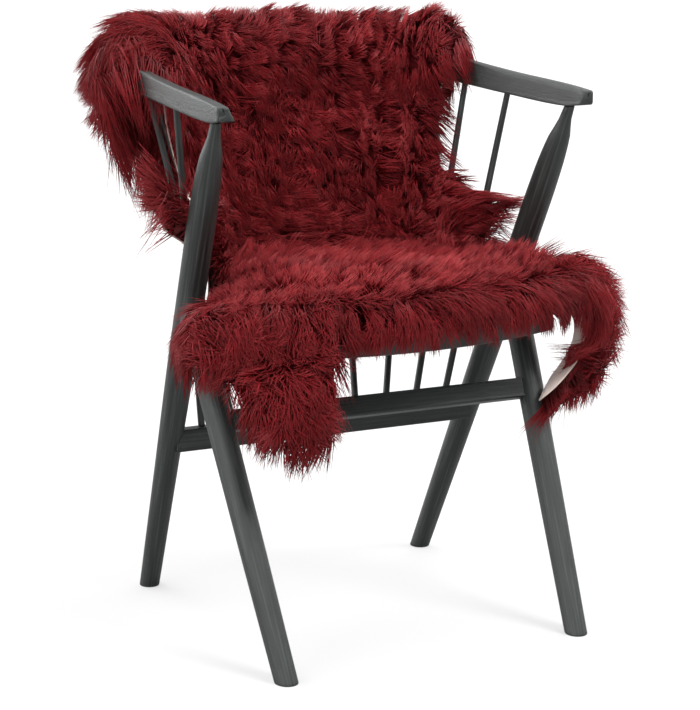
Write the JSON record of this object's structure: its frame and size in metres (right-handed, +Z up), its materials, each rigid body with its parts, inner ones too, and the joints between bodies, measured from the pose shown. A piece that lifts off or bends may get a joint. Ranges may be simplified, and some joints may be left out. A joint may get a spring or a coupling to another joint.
{
  "type": "sheepskin on wooden armchair",
  "caption": "Long-wool dyed sheepskin draped over the back rail and seat of a spindle-back wooden armchair, with leg flaps falling over the seat's front edge.",
  "frame": {"origin": "on the floor, under the middle of the whole part's bounding box", "axes": "+Z up, the chair's front faces -Y, +X to the right of someone who looks at its front"},
  "size_m": [0.6992, 0.6266, 0.8251],
  "materials": {
    "wool": "long wool on a skin, dyed deep red, matt with a soft sheen",
    "wood": "black stained open-grained hardwood, satin"
  },
  "bodies": {
    "root": {"sheepskin": "wool", "seat": "wood", "arm_rail": "wood", "long_leg_left": "wood", "long_leg_right": "wood", "front_leg_left": "wood", "front_leg_right": "wood", "front_rail": "wood", "rear_rail": "wood", "spindle_1": "wood", "spindle_2": "wood", "spindle_3": "wood", "spindle_4": "wood", "spindle_5": "wood", "spindle_6": "wood", "spindle_7": "wood", "spindle_8": "wood", "spindle_9": "wood"}
  },
  "joints": []
}
